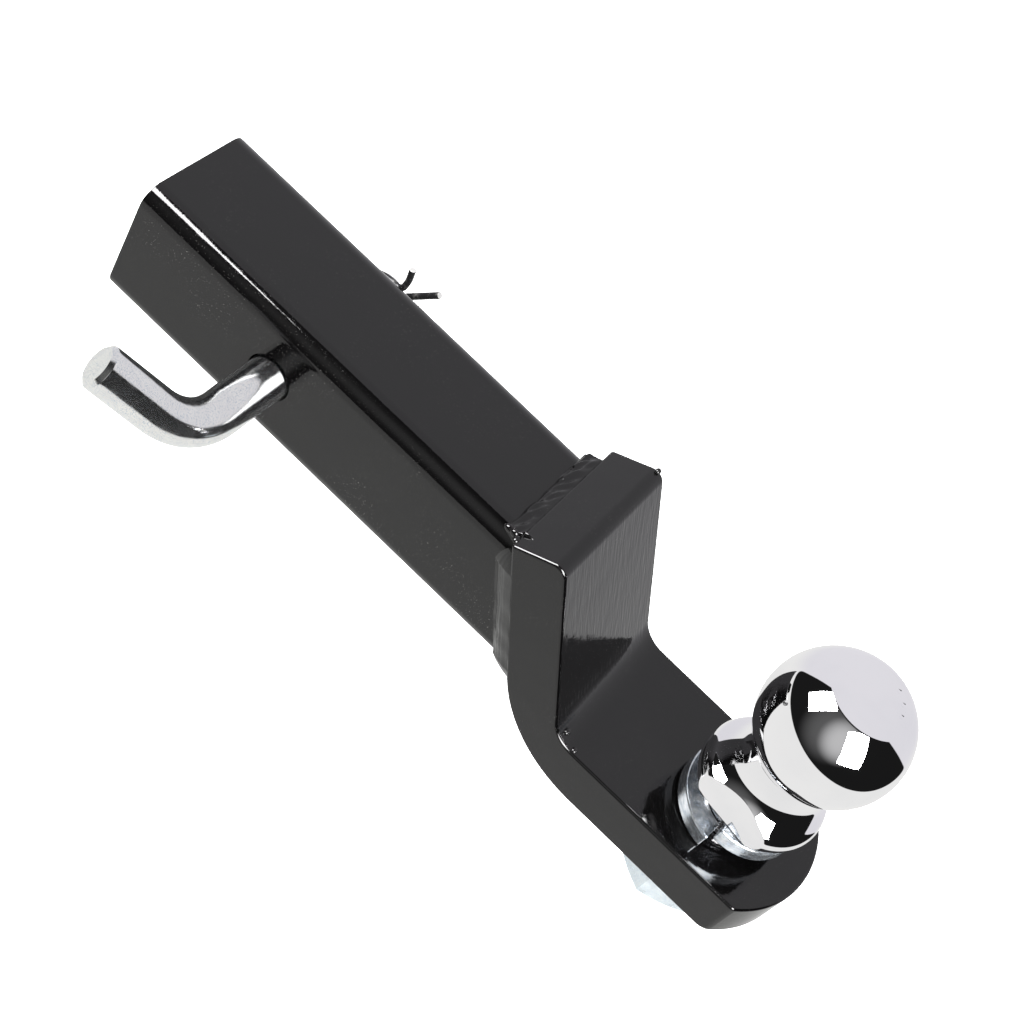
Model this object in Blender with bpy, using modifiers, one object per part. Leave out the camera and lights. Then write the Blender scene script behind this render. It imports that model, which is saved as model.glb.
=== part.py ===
"""Trailer hitch ball mount: a square shank tube with a bent tongue bar welded across its front, a
towing ball bolted through the bar, and the bent hitch pin with its spring clip.

Metres. The origin is the centre of the shank's open end. +X runs forwards along the shank to the
ball and +Z is up, so the pin's handle is on the -Y side.
"""

import math

import bmesh
import bpy
from mathutils import Matrix, Vector

# Gap left between pieces that touch
GAP = 0.0003

# Shank: square tube, cut square at the open end and mitred where it meets the bar
SHANK_LENGTH = 0.1757
SHANK_SIDE = 0.050
SHANK_WALL = 0.005
SHANK_CORNER = 0.0076

# Tongue bar: flat bar that leans back against the shank and bends forwards into a platform
BAR_WIDTH = 0.060
BAR_THICKNESS = 0.020
BAR_LEAN = math.radians(28)
BAR_ABOVE_SHANK = 0.0039
BAR_EDGE = 0.0014
DROP = 0.0503
INNER_BEND = 0.012
OUTER_BEND = 0.050
BALL_REACH = 0.0589
NOSE_LENGTH = 0.0338
NOSE_RADIUS = 0.040

# Weld runs round the joint of shank and bar
WELD_LEG = 0.0075
WELD_CROWN = 0.0006
WELD_END = 0.001

# Towing ball, one forging with its stud
BALL_RADIUS = 0.0254
BALL_HEIGHT = 0.048
BALL_FLAT_RADIUS = 0.0135
FLANGE_RADIUS = 0.0233
FLANGE_WALL = 0.0053
# The dome over the flange, as runs of (length, lean inwards at its start, at its end in degrees)
DOME_RUNS = ((0.0020, 0, 40), (0.0062, 40, 42), (0.0037, 42, 26), (0.0080, 26, 0))
WRENCH_FLATS = 0.0364
WRENCH_TURN = math.radians(-8)
STUD_RADIUS = 0.0127
STUD_LENGTH = 0.0605
STUD_CHAMFER = 0.0015
STUD_CLEARANCE = 0.0006

# Split lock washer in its free, sprung-open shape
WASHER_RADIUS = 0.0214
WASHER_THICKNESS = 0.0062
WASHER_RISE = 0.008
WASHER_CLEARANCE = 0.0005
WASHER_SPLIT = math.radians(8)

# Hexagon nut
NUT_FLATS = 0.0381
NUT_HEIGHT = 0.0218
NUT_TURN = math.radians(-6.6)
NUT_FACE = 0.97
NUT_CLEARANCE = 0.0004

# Bent hitch pin, along Y through the shank
PIN_RADIUS = 0.00794
PIN_FROM_END = 0.0653
PIN_CLEARANCE = 0.00056
PIN_TAIL = 0.0155
PIN_NECK = 0.0243
PIN_BEND_RADIUS = 0.0231
PIN_BEND = math.radians(63)
PIN_HANDLE = 0.0236
PIN_HANDLE_TURN = math.radians(30.6)
PIN_CHAMFER = 0.0015

# Spring clip, bent from round wire, through a cross hole in the pin's tail
WIRE_RADIUS = 0.00125
WIRE_CLEARANCE = 0.0004
CLIP_FROM_SHANK = 0.0093
CLIP_TURN = math.radians(50.3)
CLIP_TIP = 0.0281
CLIP_BACK = 0.030
CLIP_LOOP = 0.0052
CLIP_FLARE = 0.0098

# Steps of round shapes
ROUND_STEPS = 48
BEND_STEPS = 10
HOLE_STEPS = 40

# Sizes that follow from the ones above
HALF_SIDE = SHANK_SIDE / 2
PLATFORM_TOP = HALF_SIDE - DROP
PLATFORM_BOTTOM = PLATFORM_TOP - BAR_THICKNESS
FLANGE_BOTTOM = PLATFORM_TOP + WASHER_THICKNESS + WASHER_RISE + 2 * GAP
NUT_TOP = PLATFORM_BOTTOM - GAP


def rear_face_x(z):
    """X of the bar's rear face at height z, on its straight part."""
    return SHANK_LENGTH + GAP / math.cos(BAR_LEAN) - z * math.tan(BAR_LEAN)


def front_face_x(z):
    return rear_face_x(z) + BAR_THICKNESS / math.cos(BAR_LEAN)


BALL_X = front_face_x(PLATFORM_TOP) + BALL_REACH
NOSE_X = BALL_X + NOSE_LENGTH


def clear_scene():
    for old in list(bpy.data.objects):
        bpy.data.objects.remove(old, do_unlink=True)


def new_collection(name):
    made = bpy.data.collections.new(name)
    bpy.context.scene.collection.children.link(made)
    return made


def finish(name, color, roughness, metallic=1.0):
    made = bpy.data.materials.new(name)
    made.use_nodes = True
    shader = made.node_tree.nodes["Principled BSDF"]
    shader.inputs["Base Color"].default_value = (*color, 1)
    shader.inputs["Roughness"].default_value = roughness
    shader.inputs["Metallic"].default_value = metallic
    return made


def black_paint():
    return finish("black_paint", (0.012, 0.012, 0.013), 0.22, 0.0)


def polished_chrome():
    return finish("polished_chrome", (0.82, 0.82, 0.83), 0.04)


def bright_zinc():
    return finish("bright_zinc", (0.66, 0.69, 0.70), 0.28)


def spring_steel():
    return finish("spring_steel", (0.035, 0.035, 0.038), 0.35)


def add_object(name, data, collection, material=None):
    made = bpy.data.objects.new(name, data)
    collection.objects.link(made)
    if material:
        data.materials.append(material)
    return made


def add_mesh(name, bm, collection, material=None):
    data = bpy.data.meshes.new(name)
    bm.to_mesh(data)
    bm.free()
    return add_object(name, data, collection, material)


def hide_cutter(cutter):
    cutter.hide_render = True
    cutter.display_type = "WIRE"
    return cutter


def cut(target, cutter, operation="DIFFERENCE"):
    modifier = target.modifiers.new(cutter.name, "BOOLEAN")
    modifier.operation = operation
    modifier.object = hide_cutter(cutter)


def smooth(target, angle=math.radians(35)):
    target.data.shade_smooth()
    target.data.set_sharp_from_angle(angle=angle)


def arc(centre, radius, start, end, steps):
    """Points of an arc in a plane, both ends included."""
    return [
        (
            centre[0] + radius * math.cos(start + (end - start) * i / steps),
            centre[1] + radius * math.sin(start + (end - start) * i / steps),
        )
        for i in range(steps + 1)
    ]


def poly_spline(curve, points, closed=False):
    spline = curve.splines.new("POLY")
    spline.points.add(len(points) - 1)
    for target, point in zip(spline.points, points):
        target.co = (*point, *([0.0] * (3 - len(point))), 1.0)
    spline.use_cyclic_u = closed


def as_mesh(source, name, collection, material=None):
    """The curve object made a mesh with its caps welded, at the same place."""
    bpy.context.view_layer.update()
    graph = bpy.context.evaluated_depsgraph_get()
    data = bpy.data.meshes.new_from_object(source.evaluated_get(graph))
    bm = bmesh.new()
    bm.from_mesh(data)
    bmesh.ops.remove_doubles(bm, verts=bm.verts, dist=1e-6)
    bmesh.ops.recalc_face_normals(bm, faces=bm.faces)
    bm.to_mesh(data)
    bm.free()
    data.materials.clear()
    made = add_object(name, data, collection, material)
    made.matrix_world = source.matrix_world
    bpy.data.objects.remove(source, do_unlink=True)
    data.name = name
    return made


def plate(name, outline, half_thickness, collection, place, material=None, rounding=0.0):
    """A flat outline extruded both ways along its own Z, its edges rounded, as a mesh."""
    curve = bpy.data.curves.new(name + "_outline", "CURVE")
    curve.dimensions = "2D"
    curve.fill_mode = "BOTH"
    curve.extrude = half_thickness - rounding
    curve.bevel_depth = rounding
    curve.bevel_resolution = 1
    curve.offset = -rounding
    poly_spline(curve, outline, closed=True)
    source = add_object(name + "_outline", curve, collection)
    source.matrix_world = place
    return as_mesh(source, name, collection, material)


def upright():
    """Turns an outline's X, Y into world X, Z, and its thickness into -Y."""
    return Matrix.Rotation(math.radians(90), 4, "X")


def turned(name, profile, collection, material=None):
    """A profile of (radius, height), from top to bottom, turned about Z."""
    bm = bmesh.new()
    points = [bm.verts.new((radius, 0, height)) for radius, height in profile]
    for upper, lower in zip(points, points[1:]):
        bm.edges.new((upper, lower))
    made = add_mesh(name, bm, collection, material)
    screw = made.modifiers.new("Turn", "SCREW")
    screw.steps = ROUND_STEPS
    screw.render_steps = ROUND_STEPS
    screw.use_merge_vertices = True
    screw.merge_threshold = 1e-5
    screw.use_smooth_shade = True
    return made


def cylinder(name, radius, length, collection):
    """A cylinder along Z, centred."""
    bm = bmesh.new()
    bmesh.ops.create_cone(
        bm, cap_ends=True, segments=HOLE_STEPS, radius1=radius, radius2=radius, depth=length
    )
    return add_mesh(name, bm, collection)


def block(name, size, collection, corner=0.0, material=None):
    """A box of the given size, centred, with its edges along X rounded to a corner radius."""
    bm = bmesh.new()
    bmesh.ops.create_cube(bm, size=1.0)
    bmesh.ops.scale(bm, vec=size, verts=bm.verts)
    if corner:
        along = [e for e in bm.edges if abs((e.verts[0].co - e.verts[1].co).x) > size[0] / 2]
        bmesh.ops.bevel(
            bm, geom=along, offset=corner, segments=6, profile=0.5, affect="EDGES", material=-1
        )
    return add_mesh(name, bm, collection, material)


def make_shank(parts, cutters, paint):
    uncut = SHANK_LENGTH + SHANK_SIDE
    tube = block("shank_tube", (uncut, SHANK_SIDE, SHANK_SIDE), parts, SHANK_CORNER, paint)
    tube.location.x = uncut / 2
    inside = SHANK_SIDE - 2 * SHANK_WALL
    inner_corner = max(SHANK_CORNER - SHANK_WALL, 0.001)
    bore = block("shank_bore", (2 * uncut, inside, inside), cutters, inner_corner)
    bore.location.x = uncut / 2
    cut(tube, bore)
    reach = 2 * SHANK_SIDE
    mitre = block("shank_mitre", (2 * reach, 2 * SHANK_SIDE, 6 * SHANK_SIDE), cutters)
    mitre.rotation_euler.y = -BAR_LEAN
    mitre.location = (SHANK_LENGTH + reach * math.cos(BAR_LEAN), 0, reach * math.sin(BAR_LEAN))
    cut(tube, mitre)
    hole = cylinder("pin_hole", PIN_RADIUS + PIN_CLEARANCE, 2 * SHANK_SIDE, cutters)
    hole.rotation_euler.x = math.radians(90)
    hole.location.x = PIN_FROM_END
    cut(tube, hole)
    smooth(tube)


def bar_top_corners():
    rear_z = HALF_SIDE + BAR_ABOVE_SHANK
    rear = (rear_face_x(rear_z), rear_z)
    front = (
        rear[0] + BAR_THICKNESS * math.cos(BAR_LEAN),
        rear[1] + BAR_THICKNESS * math.sin(BAR_LEAN),
    )
    return rear, front


def bend_arc(face_x, face_z, radius, steps):
    """The arc from the leaning face to the level one, tangent to both."""
    centre_z = face_z + radius
    centre = (face_x(centre_z) + radius / math.cos(BAR_LEAN), centre_z)
    return arc(centre, radius, math.pi + BAR_LEAN, 1.5 * math.pi, steps)


def make_tongue(parts, cutters, paint):
    rear, front = bar_top_corners()
    square_end = NOSE_X + BAR_WIDTH
    side_outline = [rear, front]
    side_outline += bend_arc(front_face_x, PLATFORM_TOP, INNER_BEND, BEND_STEPS)
    side_outline += [(square_end, PLATFORM_TOP), (square_end, PLATFORM_BOTTOM)]
    side_outline += reversed(bend_arc(rear_face_x, PLATFORM_BOTTOM, OUTER_BEND, BEND_STEPS))
    bar = plate("tongue_bar", side_outline, BAR_WIDTH / 2, parts, upright(), paint, BAR_EDGE)

    half_angle = math.asin(min(1.0, BAR_WIDTH / 2 / NOSE_RADIUS))
    plan = arc((NOSE_X - NOSE_RADIUS, 0), NOSE_RADIUS, -half_angle, half_angle, 2 * BEND_STEPS)
    behind = rear[0] - BAR_WIDTH
    plan += [(behind, BAR_WIDTH), (behind, -BAR_WIDTH)]
    plan.insert(0, (plan[0][0] - NOSE_RADIUS, -BAR_WIDTH))
    plan.insert(-2, (plan[0][0], BAR_WIDTH))
    nose = plate("bar_nose", plan, 3 * SHANK_SIDE, cutters, Matrix())
    cut(bar, nose, "INTERSECT")

    bore = cylinder("stud_hole", STUD_RADIUS + STUD_CLEARANCE, 3 * BAR_THICKNESS, cutters)
    bore.location = (BALL_X, 0, PLATFORM_TOP - BAR_THICKNESS / 2)
    cut(bar, bore)
    smooth(bar)


def bead_outline(toe, root, crest):
    """A fillet's section: two legs, and a slightly crowned face from crest back to toe."""
    toe, root, crest = Vector(toe), Vector(root), Vector(crest)
    along = toe - crest
    outward = Vector((along.y, -along.x)).normalized()
    if outward.dot(crest - root) < 0:
        outward.negate()
    steps = 5
    crown = [
        crest + along * (i / steps) + outward * WELD_CROWN * math.sin(math.pi * i / steps)
        for i in range(1, steps)
    ]
    return [tuple(point) for point in [toe, root, crest, *crown]]


def make_level_weld(name, surface_z, crest_z, parts, paint):
    """A run across the top or the underside of the shank."""
    clear = GAP / math.cos(BAR_LEAN)
    root = (rear_face_x(surface_z) - clear, surface_z)
    toe = (root[0] - WELD_LEG, surface_z)
    crest = (rear_face_x(crest_z) - clear, crest_z)
    outline = bead_outline(toe, root, crest)
    weld = plate(name, outline, HALF_SIDE - WELD_END, parts, upright(), paint)
    smooth(weld)


def make_side_weld(name, side, parts, paint):
    """A run down one side of the shank: side is 1 for +Y and -1 for -Y."""
    surface = HALF_SIDE + GAP
    crest = BAR_WIDTH / 2 - BAR_EDGE
    outline = bead_outline((GAP + WELD_LEG, surface), (GAP, surface), (GAP, crest))
    rearward = Vector((-math.cos(BAR_LEAN), 0, -math.sin(BAR_LEAN)))
    sideways = Vector((0, side, 0))
    place = Matrix((rearward, sideways, rearward.cross(sideways))).transposed().to_4x4()
    place.translation = Vector((rear_face_x(0), 0, 0))
    half_run = (HALF_SIDE - WELD_END) / math.cos(BAR_LEAN)
    weld = plate(name, outline, half_run, parts, place, paint)
    smooth(weld)


def make_welds(parts, paint):
    top_crest = HALF_SIDE + BAR_ABOVE_SHANK - GAP
    under_crest = -HALF_SIDE - GAP - WELD_LEG * math.cos(BAR_LEAN)
    make_level_weld("weld_top", HALF_SIDE + GAP, top_crest, parts, paint)
    make_level_weld("weld_bottom", -HALF_SIDE - GAP, under_crest, parts, paint)
    make_side_weld("weld_left", 1, parts, paint)
    make_side_weld("weld_right", -1, parts, paint)


def dome_line(steps=5):
    """Radius and height above the flange's underside, from the top of its wall up to the neck."""
    line = [(FLANGE_RADIUS, FLANGE_WALL)]
    for length, start, end in DOME_RUNS:
        for i in range(steps):
            lean = math.radians(start + (end - start) * (i + 0.5) / steps)
            radius, height = line[-1]
            line.append((radius - length / steps * math.sin(lean),
                         height + length / steps * math.cos(lean)))
    return line


def ball_profile():
    """Radius and height above the flange's underside, from the flat top down to the stud's end."""
    dome = dome_line()
    top = math.acos(BALL_FLAT_RADIUS / BALL_RADIUS)
    neck = -math.acos(dome[-1][0] / BALL_RADIUS)
    sphere = arc((0, BALL_HEIGHT), BALL_RADIUS, top, neck, 24)
    stud = [
        (FLANGE_RADIUS, 0),
        (STUD_RADIUS, 0),
        (STUD_RADIUS, STUD_CHAMFER - STUD_LENGTH),
        (STUD_RADIUS - STUD_CHAMFER, -STUD_LENGTH),
        (0, -STUD_LENGTH),
    ]
    return [(0, sphere[0][1]), *sphere, *reversed(dome), *stud]


def make_ball(parts, cutters, chrome):
    ball = turned("tow_ball", ball_profile(), parts, chrome)
    ball.location = (BALL_X, 0, FLANGE_BOTTOM)
    flat_top = dome_line()[-1][1]
    depth = FLANGE_RADIUS
    for number, side in enumerate((-1, 1), start=1):
        flat = block(f"wrench_flat_{number}", (3 * FLANGE_RADIUS, depth, 2 * flat_top), cutters)
        flat.parent = ball
        flat.rotation_euler.z = WRENCH_TURN
        reach = side * (WRENCH_FLATS / 2 + depth / 2)
        flat.location = (-reach * math.sin(WRENCH_TURN), reach * math.cos(WRENCH_TURN), 0)
        cut(ball, flat)


def make_washer(parts, zinc):
    """A square-section ring that climbs by its rise on the way round, split at the -Y side."""
    inner = STUD_RADIUS + WASHER_CLEARANCE
    start = -math.pi / 2 - WASHER_SPLIT / 2
    steps = ROUND_STEPS
    sweep = 2 * math.pi - WASHER_SPLIT
    bm = bmesh.new()
    corners = [
        bm.verts.new((radius * math.cos(start), radius * math.sin(start), height))
        for radius, height in (
            (inner, 0), (WASHER_RADIUS, 0), (WASHER_RADIUS, WASHER_THICKNESS), (inner, WASHER_THICKNESS)
        )
    ]
    section = bm.faces.new(corners)
    bmesh.ops.spin(
        bm, geom=[section, *section.edges, *section.verts], cent=(0, 0, 0), axis=(0, 0, -1),
        dvec=(0, 0, WASHER_RISE / steps), angle=sweep, steps=steps, use_duplicate=False,
    )
    bmesh.ops.recalc_face_normals(bm, faces=bm.faces)
    washer = add_mesh("lock_washer", bm, parts, zinc)
    washer.location = (BALL_X, 0, PLATFORM_TOP + GAP)
    smooth(washer)


def make_nut(parts, cutters, zinc):
    corner_radius = NUT_FLATS / 2 / math.cos(math.radians(30))
    bm = bmesh.new()
    bmesh.ops.create_cone(
        bm, cap_ends=True, segments=6, radius1=corner_radius, radius2=corner_radius, depth=NUT_HEIGHT
    )
    nut = add_mesh("ball_nut", bm, parts, zinc)
    nut.location = (BALL_X, 0, NUT_TOP - NUT_HEIGHT / 2)
    nut.rotation_euler.z = NUT_TURN

    face_radius = NUT_FLATS / 2 * NUT_FACE
    chamfer = (corner_radius - face_radius) * math.tan(math.radians(30))
    half = NUT_HEIGHT / 2
    outside = 1.1 * corner_radius
    profile = [
        (0, half), (face_radius, half), (corner_radius, half - chamfer), (outside, half - chamfer),
        (outside, chamfer - half), (corner_radius, chamfer - half), (face_radius, -half), (0, -half),
    ]
    chamfers = turned("nut_chamfers", profile, cutters)
    chamfers.parent = nut
    cut(nut, chamfers, "INTERSECT")
    bore = cylinder("nut_bore", STUD_RADIUS + NUT_CLEARANCE, 2 * NUT_HEIGHT, cutters)
    bore.parent = nut
    cut(nut, bore)
    smooth(nut)


def pin_route():
    """Points along the pin from its tail, +Y, through the shank and round the bend."""
    outward = Vector((0, -1, 0))
    toward_handle = Vector((-math.cos(PIN_HANDLE_TURN), 0, math.sin(PIN_HANDLE_TURN)))
    bend_start = outward * (HALF_SIDE + PIN_NECK)
    centre = bend_start + PIN_BEND_RADIUS * toward_handle
    tail = outward * -(HALF_SIDE + PIN_TAIL)
    route = [tail, outward * -HALF_SIDE]
    for i in range(BEND_STEPS + 1):
        turn = PIN_BEND * i / BEND_STEPS
        route.append(centre + PIN_BEND_RADIUS * (outward * math.sin(turn) - toward_handle * math.cos(turn)))
    along_handle = outward * math.cos(PIN_BEND) + toward_handle * math.sin(PIN_BEND)
    route.append(route[-1] + along_handle * PIN_HANDLE)
    return route


def clip_axis():
    """The way the clip's straight leg points, from its loop to its tip."""
    return Vector((math.cos(CLIP_TURN), 0, math.sin(CLIP_TURN)))


def clip_y():
    return HALF_SIDE + CLIP_FROM_SHANK


def make_pin(parts, cutters, zinc):
    curve = bpy.data.curves.new("pin_route", "CURVE")
    curve.dimensions = "3D"
    curve.bevel_depth = PIN_RADIUS
    curve.bevel_resolution = 6
    curve.use_fill_caps = True
    poly_spline(curve, [tuple(point) for point in pin_route()])
    source = add_object("pin_route", curve, parts)
    source.location.x = PIN_FROM_END
    pin = as_mesh(source, "hitch_pin", parts, zinc)

    chamfer = pin.modifiers.new("Chamfered ends", "BEVEL")
    chamfer.width = PIN_CHAMFER
    chamfer.segments = 1
    chamfer.limit_method = "ANGLE"
    chamfer.angle_limit = math.radians(60)

    hole = cylinder("clip_hole", WIRE_RADIUS + WIRE_CLEARANCE, 4 * PIN_RADIUS, cutters)
    hole.location = (PIN_FROM_END, clip_y(), 0)
    hole.rotation_euler.y = math.radians(90) - CLIP_TURN
    cut(pin, hole)
    smooth(pin)


def clip_route():
    """Along the straight leg and across it: tip, loop, then the bow that hugs the pin."""
    hug = PIN_RADIUS + WIRE_RADIUS + GAP
    beside = 2 * WIRE_RADIUS + GAP
    loop = CLIP_LOOP + WIRE_RADIUS
    back = -CLIP_BACK
    return [
        (CLIP_TIP, 0),
        (CLIP_TIP / 2, 0),
        (back / 2, 0),
        (back, 0),
        (back - 0.8 * loop, -0.25 * loop),
        (back - 1.7 * loop, 0.7 * loop),
        (back - 1.0 * loop, 1.75 * loop),
        (back, 1.35 * loop),
        (-1.9 * hug, 1.35 * beside),
        (-0.95 * hug, 0.62 * hug),
        (-0.5 * hug, 0.95 * hug),
        (0, 1.08 * hug),
        (0.5 * hug, 0.95 * hug),
        (0.95 * hug, 0.62 * hug),
        (1.25 * hug, beside + WIRE_RADIUS / 2),
        (1.6 * hug, 1.7 * beside),
        (1.6 * hug + 0.5 * CLIP_FLARE, 1.7 * beside + 0.5 * CLIP_FLARE),
    ]


def make_clip(parts, spring):
    along = clip_axis()
    across = Vector((-along.z, 0, along.x))
    curve = bpy.data.curves.new("pin_clip", "CURVE")
    curve.dimensions = "3D"
    curve.bevel_depth = WIRE_RADIUS
    curve.bevel_resolution = 1
    curve.resolution_u = 3
    curve.use_fill_caps = True
    route = clip_route()
    spline = curve.splines.new("BEZIER")
    spline.bezier_points.add(len(route) - 1)
    for target, (forward, sideways) in zip(spline.bezier_points, route):
        target.co = along * forward + across * sideways
        target.handle_left_type = "AUTO"
        target.handle_right_type = "AUTO"
    clip = add_object("pin_clip", curve, parts, spring)
    clip.location = (PIN_FROM_END, clip_y(), 0)


def build():
    clear_scene()
    parts = new_collection("trailer_hitch")
    cutters = new_collection("cutters")
    paint = black_paint()
    zinc = bright_zinc()
    make_shank(parts, cutters, paint)
    make_tongue(parts, cutters, paint)
    make_welds(parts, paint)
    make_ball(parts, cutters, polished_chrome())
    make_washer(parts, zinc)
    make_nut(parts, cutters, zinc)
    make_pin(parts, cutters, zinc)
    make_clip(parts, spring_steel())


build()
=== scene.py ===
# %% [markdown]
# # A drop ball mount, piece by piece
# The real thing is a square steel tube welded to a bent flat bar, with a chromed towing ball
# bolted through the bar and a bent pin with a spring clip through the tube. The solid parts and
# their joints come packed from the workshop model, so this lesson only makes each surface finer:
# rounded edges, rippled weld beads, a cut thread, and a finish for every metal. Everything is in
# metres, +X runs forwards to the ball and +Z is up.

# %% Load the frame
import math

import bmesh
import bpy
from mathutils import Matrix, Vector, noise


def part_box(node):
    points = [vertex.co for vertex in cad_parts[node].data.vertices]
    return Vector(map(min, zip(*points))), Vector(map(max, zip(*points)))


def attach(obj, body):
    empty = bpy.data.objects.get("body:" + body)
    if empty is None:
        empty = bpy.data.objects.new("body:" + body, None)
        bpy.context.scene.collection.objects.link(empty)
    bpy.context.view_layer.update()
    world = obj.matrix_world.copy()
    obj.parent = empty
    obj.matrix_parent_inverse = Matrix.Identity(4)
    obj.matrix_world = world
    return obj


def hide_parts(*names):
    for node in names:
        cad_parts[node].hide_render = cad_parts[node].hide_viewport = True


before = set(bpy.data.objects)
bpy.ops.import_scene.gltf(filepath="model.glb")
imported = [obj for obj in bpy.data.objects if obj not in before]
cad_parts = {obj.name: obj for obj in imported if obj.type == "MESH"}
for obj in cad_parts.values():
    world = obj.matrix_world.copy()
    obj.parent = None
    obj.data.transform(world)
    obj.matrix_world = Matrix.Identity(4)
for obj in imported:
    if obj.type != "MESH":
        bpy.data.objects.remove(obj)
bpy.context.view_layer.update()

# %% [markdown]
# ## Sizes
# A finer piece has to sit exactly where its solid does, so every place is read from the solids'
# boxes. Only what a box can't tell is written here: the lean of the bar, its thickness and the
# bend radii.

# %% Read the sizes
tube_low, tube_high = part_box("shank_tube")
bar_low, bar_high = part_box("tongue_bar")
ball_low, ball_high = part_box("tow_ball")
washer_low, washer_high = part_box("lock_washer")
nut_low, nut_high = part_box("ball_nut")
_, pin_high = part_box("hitch_pin")

LEAN = math.radians(28)
HALF_SIDE = tube_high.z
WALL = 0.005
BAR_THICKNESS = 0.020
HALF_BAR = bar_high.y
PLATFORM = bar_low.z + BAR_THICKNESS
BALL_X = (ball_low.x + ball_high.x) / 2
STUD_RADIUS = 0.0127
PIN_X = tube_low.x + 0.0653
PIN_RADIUS = 0.00794
bar_rear_top = Vector((bar_low.x, 0, bar_high.z - BAR_THICKNESS * math.sin(LEAN)))
bar_front_top = Vector((bar_low.x + BAR_THICKNESS * math.cos(LEAN), 0, bar_high.z))


def rear_face_x(z):
    return bar_rear_top.x + (bar_rear_top.z - z) * math.tan(LEAN)


def front_face_x(z):
    return bar_front_top.x + (bar_front_top.z - z) * math.tan(LEAN)


print(f"platform top {PLATFORM:.4f}, ball axis at x {BALL_X:.4f}")

# %% [markdown]
# ## Camera
# The view is from the near side and high up, with the camera rolled so that the tube runs down
# the frame from the top left. A long lens keeps the square tube from flaring.

# %% Place the camera
camera = bpy.data.objects.new("camera", bpy.data.cameras.new("camera"))
camera.data.sensor_width = 36
camera.data.lens = 65.81
camera.data.clip_start = 0.01
camera.data.clip_end = 100
camera.location = (0.1945, -0.40245, 0.46009)
camera.rotation_euler = [math.radians(a) for a in (34.708, -24.820, 37.329)]
bpy.context.scene.collection.objects.link(camera)
bpy.context.scene.camera = camera
print("camera at", tuple(camera.location))

# %% [markdown]
# ## Light
# Glossy black paint and chrome show hardly any colour of their own: they show the room. The room
# here is a plain studio: a pale sheet that runs under the part and curves up behind it, darkness
# on the camera's side, and two soft boxes high up in that darkness. The sheet and the darkness
# are a sky, a function of direction alone, which costs nothing and never gets in the way. The
# soft boxes are area lights, because they also have to light the parts from the right place.


# %% Node helpers
def add_node(tree, kind, inputs=None, **settings):
    """A node with its settings and inputs. A socket given as input is linked, a value is set."""
    node = tree.nodes.new(kind)
    for key, value in settings.items():
        setattr(node, key, value)
    for key, value in (inputs or {}).items():
        if isinstance(value, bpy.types.NodeSocket):
            tree.links.new(value, node.inputs[key])
        else:
            node.inputs[key].default_value = value
    return node


def math_node(tree, operation, a, b=0.0):
    return add_node(tree, "ShaderNodeMath", {0: a, 1: b}, operation=operation).outputs[0]


def ramp(tree, value, low, high, start=0.0, end=1.0):
    """The value eased from start to end as it goes from low to high."""
    node = add_node(
        tree,
        "ShaderNodeMapRange",
        {"Value": value, "From Min": low, "From Max": high, "To Min": start, "To Max": end},
        interpolation_type="SMOOTHSTEP",
    )
    return node.outputs["Result"]


def mix_color(tree, factor, a, b, blend="MIX"):
    node = add_node(tree, "ShaderNodeMix", data_type="RGBA", blend_type=blend)
    for socket, value in (("Factor_Float", factor), ("A_Color", a), ("B_Color", b)):
        target = next(s for s in node.inputs if s.identifier == socket)
        if isinstance(value, bpy.types.NodeSocket):
            tree.links.new(value, target)
        else:
            target.default_value = value
    return next(s for s in node.outputs if s.identifier == "Result_Color")


# %% Paint the studio sky
def toward(azimuth, elevation):
    """The unit vector at these angles: azimuth 0 is +X and 90 is +Y."""
    a, e = math.radians(azimuth), math.radians(elevation)
    return Vector((math.cos(e) * math.cos(a), math.cos(e) * math.sin(a), math.sin(e)))


def facing(tree, direction, aim):
    """How far the sky's direction leans towards aim, as a cosine."""
    node = add_node(
        tree, "ShaderNodeVectorMath", {0: direction, 1: tuple(aim)}, operation="DOT_PRODUCT"
    )
    return node.outputs["Value"]


SHEET_CURVE = 0.16  # how softly the table turns up into the backdrop


def make_sky():
    sky = bpy.data.worlds.new("studio")
    sky.use_nodes = True
    tree = sky.node_tree
    direction = add_node(tree, "ShaderNodeTexCoord").outputs["Generated"]
    table = math_node(tree, "SUBTRACT", -0.25, facing(tree, direction, (0.193, 0.070, 0.979)))
    backdrop = math_node(tree, "SUBTRACT", facing(tree, direction, (0, 0.913, 0.407)), 0.37)
    both = add_node(
        tree, "ShaderNodeMath", {0: table, 1: backdrop, 2: SHEET_CURVE}, operation="SMOOTH_MAX"
    )
    sheet = ramp(tree, both.outputs[0], -0.006, 0.008)
    table = ramp(tree, math_node(tree, "SUBTRACT", table, backdrop), -0.35, 0.25)
    glow = ramp(tree, facing(tree, direction, toward(-98, 37)), 0.66, 1.0, 0.010, 0.11)
    spill = ramp(tree, facing(tree, direction, toward(-72, 37)), 0.80, 1.0, 0.0, 0.42)
    glow = math_node(tree, "ADD", glow, spill)
    dark = add_node(tree, "ShaderNodeCombineColor", {"Red": glow, "Green": glow, "Blue": glow})
    pale = mix_color(tree, table, (0.775, 0.765, 0.80, 1), (0.86, 0.86, 0.845, 1))
    room = mix_color(tree, sheet, dark.outputs["Color"], pale)
    seen = add_node(tree, "ShaderNodeLightPath").outputs["Is Camera Ray"]
    colour = mix_color(tree, seen, room, (1, 1, 1, 1))
    background = tree.nodes["Background"]
    tree.links.new(colour, background.inputs["Color"])
    bpy.context.scene.world = sky


make_sky()
bpy.context.scene.view_settings.view_transform = "Standard"


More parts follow.
